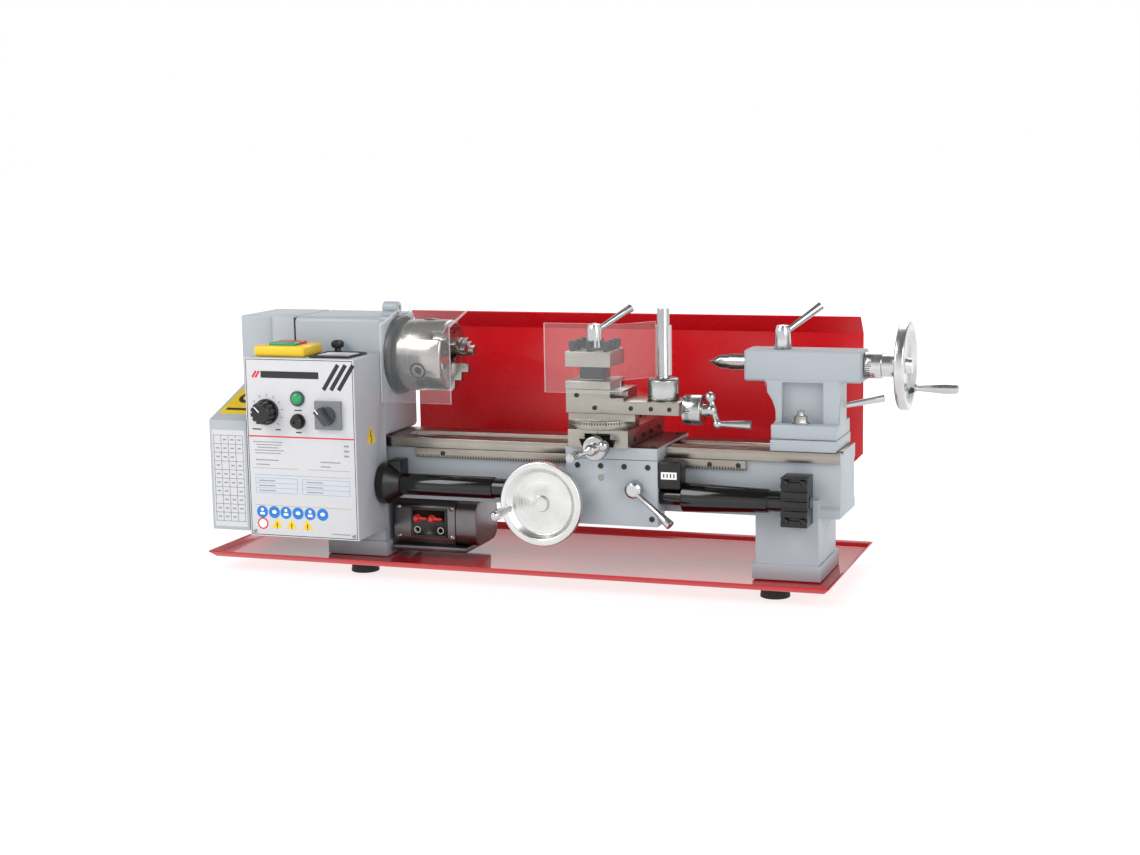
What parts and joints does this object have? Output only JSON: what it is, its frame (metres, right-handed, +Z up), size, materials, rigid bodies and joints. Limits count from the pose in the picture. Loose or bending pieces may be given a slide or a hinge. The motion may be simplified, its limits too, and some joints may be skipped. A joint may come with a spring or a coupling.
{
  "type": "metal lathe",
  "caption": "Bench lathe with a three-jaw chuck, geared leadscrew drive, sliding carriage with cross and top slides, toolpost, tailstock, guards and chip tray.",
  "frame": {"origin": "middle of the bounding box, on the bench under the feet", "axes": "+X along the spindle from the headstock to the tailstock, +Y away from the operator, +Z up"},
  "size_m": [0.823, 0.2926, 0.3036],
  "materials": {
    "aluminium": "turned and polished",
    "black_plastic": "moulded",
    "chrome": "polished plate",
    "clear_plastic": "clear polycarbonate sheet",
    "dark_casting": "dark, oiled",
    "green_plastic": "moulded",
    "grey_paint": "smooth enamel with a slight orange peel",
    "ground_steel": "ground and turned",
    "red_paint": "high-gloss enamel on pressed sheet",
    "red_plastic": "moulded",
    "rubber": "moulded",
    "white_panel": "printed polycarbonate overlay",
    "yellow_plastic": "moulded"
  },
  "bodies": {
    "bed": {"rubber_foot_1": "rubber", "rubber_foot_2": "rubber", "rubber_foot_3": "rubber", "rubber_foot_4": "rubber", "chip_tray": "red_paint", "bed_casting": "grey_paint", "splash_guard": "red_paint", "rack": "ground_steel", "bearing_ring": "dark_casting", "gear_cover": "grey_paint", "control_box": "grey_paint", "control_panel": "white_panel", "switch_base": "yellow_plastic", "headstock_casting": "grey_paint", "leadscrew_bracket_left": "black_plastic", "leadscrew_bracket_right": "black_plastic", "left_cover_tube": "black_plastic", "motor": "dark_casting", "drive_belt": "rubber"},
    "speed_knob": {"speed_knob": "black_plastic"},
    "selector_knob": {"selector_knob": "black_plastic"},
    "start_button": {"start_button": "green_plastic"},
    "stop_button": {"stop_button": "red_plastic"},
    "chuck_guard": {"chuck_guard": "clear_plastic"},
    "spindle": {"spindle": "ground_steel", "chuck_body": "ground_steel"},
    "chuck_jaw_1": {"chuck_jaw_1": "ground_steel"},
    "chuck_jaw_2": {"chuck_jaw_2": "ground_steel"},
    "chuck_jaw_3": {"chuck_jaw_3": "ground_steel"},
    "idler_gear": {"idler_gear": "ground_steel"},
    "stud_gear": {"stud_gear": "ground_steel"},
    "leadscrew": {"leadscrew": "ground_steel"},
    "motor_shaft": {"motor_pulley": "ground_steel"},
    "carriage": {"saddle": "ground_steel", "apron": "grey_paint", "thread_dial": "black_plastic", "right_cover_slide": "black_plastic"},
    "apron_handwheel": {"apron_handwheel": "aluminium"},
    "apron_handle": {"apron_handle": "aluminium"},
    "rack_pinion": {"rack_pinion": "ground_steel"},
    "half_nut_upper": {"half_nut_upper": "aluminium"},
    "half_nut_lower": {"half_nut_lower": "aluminium"},
    "half_nut_lever": {"half_nut_lever": "chrome"},
    "cross_slide": {"cross_slide": "ground_steel"},
    "cross_screw": {"cross_screw": "aluminium"},
    "compound": {"compound_base": "ground_steel"},
    "top_slide": {"top_slide": "ground_steel", "tool_guard_post": "aluminium"},
    "compound_screw": {"compound_screw": "aluminium"},
    "toolpost": {"toolpost": "ground_steel"},
    "toolpost_lever": {"toolpost_lever": "chrome"},
    "tool_guard_plate": {"tool_guard_plate": "clear_plastic"},
    "tailstock": {"tailstock_base": "grey_paint", "tail_clamp_plate": "dark_casting", "tailstock_body": "grey_paint"},
    "quill": {"quill": "ground_steel"},
    "tail_handwheel": {"tail_handwheel": "aluminium"},
    "tail_handle": {"tail_handle": "aluminium"},
    "quill_lock_lever": {"quill_lock_lever": "chrome"},
    "tail_clamp_lever": {"tail_clamp_lever": "chrome"}
  },
  "joints": [
    {"name": "spindle", "type": "hinge", "parent": "bed", "child": "spindle", "pos_m": [-0.2105, 0.001, 0.24], "axis": [1, 0, 0], "continuous": true},
    {"name": "motor_shaft", "type": "hinge", "parent": "bed", "child": "motor_shaft", "pos_m": [-0.3305, -0.003, 0.057], "axis": [1, 0, 0], "continuous": true},
    {"name": "idler_gear", "type": "hinge", "parent": "bed", "child": "idler_gear", "pos_m": [-0.3735, -0.00558, 0.20004], "axis": [1, 0, 0], "continuous": true},
    {"name": "stud_gear", "type": "hinge", "parent": "bed", "child": "stud_gear", "pos_m": [-0.3735, -0.02661, 0.14545], "axis": [1, 0, 0], "continuous": true},
    {"name": "leadscrew", "type": "hinge", "parent": "bed", "child": "leadscrew", "pos_m": [-0.2105, -0.0575, 0.103], "axis": [1, 0, 0], "continuous": true},
    {"name": "chuck_jaw_1", "type": "slide", "parent": "spindle", "child": "chuck_jaw_1", "axis": [0, -0.766, 0.6428], "range_m": [-0.005, 0.008]},
    {"name": "chuck_jaw_2", "type": "slide", "parent": "spindle", "child": "chuck_jaw_2", "axis": [0, -0.1736, -0.9848], "range_m": [-0.005, 0.008]},
    {"name": "chuck_jaw_3", "type": "slide", "parent": "spindle", "child": "chuck_jaw_3", "axis": [0, 0.9397, 0.342], "range_m": [-0.005, 0.008]},
    {"name": "chuck_guard", "type": "hinge", "parent": "bed", "child": "chuck_guard", "pos_m": [-0.2105, 0.004, 0.2925], "axis": [-1, 0, 0], "range_deg": [0, 100]},
    {"name": "speed_knob", "type": "hinge", "parent": "bed", "child": "speed_knob", "pos_m": [-0.3155, -0.1215, 0.188], "axis": [0, -1, 0], "range_deg": [0, 270]},
    {"name": "selector_knob", "type": "hinge", "parent": "bed", "child": "selector_knob", "pos_m": [-0.24, -0.1265, 0.1865], "axis": [0, -1, 0], "range_deg": [-45, 45]},
    {"name": "start_button", "type": "slide", "parent": "bed", "child": "start_button", "axis": [0, 0, -1], "range_m": [0, 0.003], "stiffness_N_per_m": 400, "springref_m": -0.001},
    {"name": "stop_button", "type": "slide", "parent": "bed", "child": "stop_button", "axis": [0, 0, -1], "range_m": [0, 0.003], "stiffness_N_per_m": 400, "springref_m": -0.001},
    {"name": "apron_handwheel", "type": "hinge", "parent": "carriage", "child": "apron_handwheel", "pos_m": [-0.0071, -0.091, 0.096], "axis": [0, 1, 0], "range_deg": [-1632, 152]},
    {"name": "apron_handle", "type": "hinge", "parent": "apron_handwheel", "child": "apron_handle", "pos_m": [-0.04206, -0.1013, 0.08983], "axis": [0, -1, 0], "continuous": true},
    {"name": "carriage", "type": "slide", "parent": "bed", "child": "carriage", "axis": [1, 0, 0], "range_m": [-0.086, 0.0079]},
    {"name": "rack_pinion", "type": "hinge", "parent": "carriage", "child": "rack_pinion", "pos_m": [0.0515, -0.0717, 0.122], "axis": [0, 1, 0], "range_deg": [-66, 706]},
    {"name": "half_nut_lever", "type": "hinge", "parent": "carriage", "child": "half_nut_lever", "pos_m": [0.0895, -0.0723, 0.112], "axis": [0, -1, 0], "range_deg": [0, 35]},
    {"name": "half_nut_upper", "type": "slide", "parent": "carriage", "child": "half_nut_upper", "axis": [0, 0, 1], "range_m": [0, 0.00301]},
    {"name": "half_nut_lower", "type": "slide", "parent": "carriage", "child": "half_nut_lower", "axis": [0, 0, -1], "range_m": [0, 0.00301]},
    {"name": "cross_screw", "type": "hinge", "parent": "carriage", "child": "cross_screw", "pos_m": [0.0515, -0.0803, 0.1565], "axis": [0, 1, 0], "range_deg": [-3604, 9004]},
    {"name": "cross_slide", "type": "slide", "parent": "carriage", "child": "cross_slide", "axis": [0, 1, 0], "range_m": [-0.01, 0.025]},
    {"name": "compound", "type": "hinge", "parent": "cross_slide", "child": "compound", "pos_m": [0.0475, -0.0477, 0.1749], "axis": [0, 0, 1], "range_deg": [-30, 5]},
    {"name": "compound_screw", "type": "hinge", "parent": "top_slide", "child": "compound_screw", "pos_m": [0.1378, -0.0477, 0.1943], "axis": [-1, 0, 0], "range_deg": [-3604, 7204]},
    {"name": "top_slide", "type": "slide", "parent": "compound", "child": "top_slide", "axis": [1, 0, 0], "range_m": [-0.02, 0.01]},
    {"name": "toolpost", "type": "hinge", "parent": "top_slide", "child": "toolpost", "pos_m": [0.0385, -0.0477, 0.216], "axis": [0, 0, 1], "continuous": true},
    {"name": "toolpost_lever", "type": "hinge", "parent": "toolpost", "child": "toolpost_lever", "pos_m": [0.0385, -0.0477, 0.2562], "axis": [0, 0, 1], "range_deg": [-60, 60]},
    {"name": "tool_guard_plate", "type": "hinge", "parent": "top_slide", "child": "tool_guard_plate", "pos_m": [0.1145, -0.0477, 0.2045], "axis": [0, 0, 1], "range_deg": [0, 90]},
    {"name": "tailstock", "type": "slide", "parent": "bed", "child": "tailstock", "axis": [1, 0, 0], "range_m": [-0.06, 0.01]},
    {"name": "tail_handwheel", "type": "hinge", "parent": "tailstock", "child": "tail_handwheel", "pos_m": [0.3188, 0.001, 0.24], "axis": [-1, 0, 0], "range_deg": [0, 10560]},
    {"name": "quill", "type": "slide", "parent": "tailstock", "child": "quill", "axis": [-1, 0, 0], "range_m": [0, 0.0441]},
    {"name": "tail_handle", "type": "hinge", "parent": "tail_handwheel", "child": "tail_handle", "pos_m": [0.3658, 0.02521, 0.21404], "axis": [1, 0, 0], "continuous": true},
    {"name": "quill_lock_lever", "type": "hinge", "parent": "tailstock", "child": "quill_lock_lever", "pos_m": [0.231, 0.001, 0.2558], "axis": [0, 0, 1], "range_deg": [0, 60]},
    {"name": "tail_clamp_lever", "type": "hinge", "parent": "tailstock", "child": "tail_clamp_lever", "pos_m": [0.2855, 0.0198, 0.192], "axis": [0, 1, 0], "range_deg": [-60, 0]}
  ],
  "couplings": [
    {"joint": "motor_shaft", "follows": "spindle", "ratio": 3},
    {"joint": "idler_gear", "follows": "spindle", "ratio": -1.25},
    {"joint": "stud_gear", "follows": "spindle", "ratio": 0.55556},
    {"joint": "leadscrew", "follows": "spindle", "ratio": -0.16461},
    {"joint": "chuck_jaw_2", "follows": "chuck_jaw_1", "ratio": 1},
    {"joint": "chuck_jaw_3", "follows": "chuck_jaw_1", "ratio": 1},
    {"joint": "apron_handwheel", "follows": "carriage", "rad_per_m": 330.69},
    {"joint": "rack_pinion", "follows": "carriage", "rad_per_m": -142.86},
    {"joint": "half_nut_upper", "follows": "half_nut_lever", "m_per_rad": 0.0049111},
    {"joint": "half_nut_lower", "follows": "half_nut_lever", "m_per_rad": 0.0049111},
    {"joint": "cross_screw", "follows": "cross_slide", "rad_per_m": 6283.2},
    {"joint": "compound_screw", "follows": "top_slide", "rad_per_m": -6283.2},
    {"joint": "quill", "follows": "tail_handwheel", "m_per_rad": 0.00023873}
  ]
}
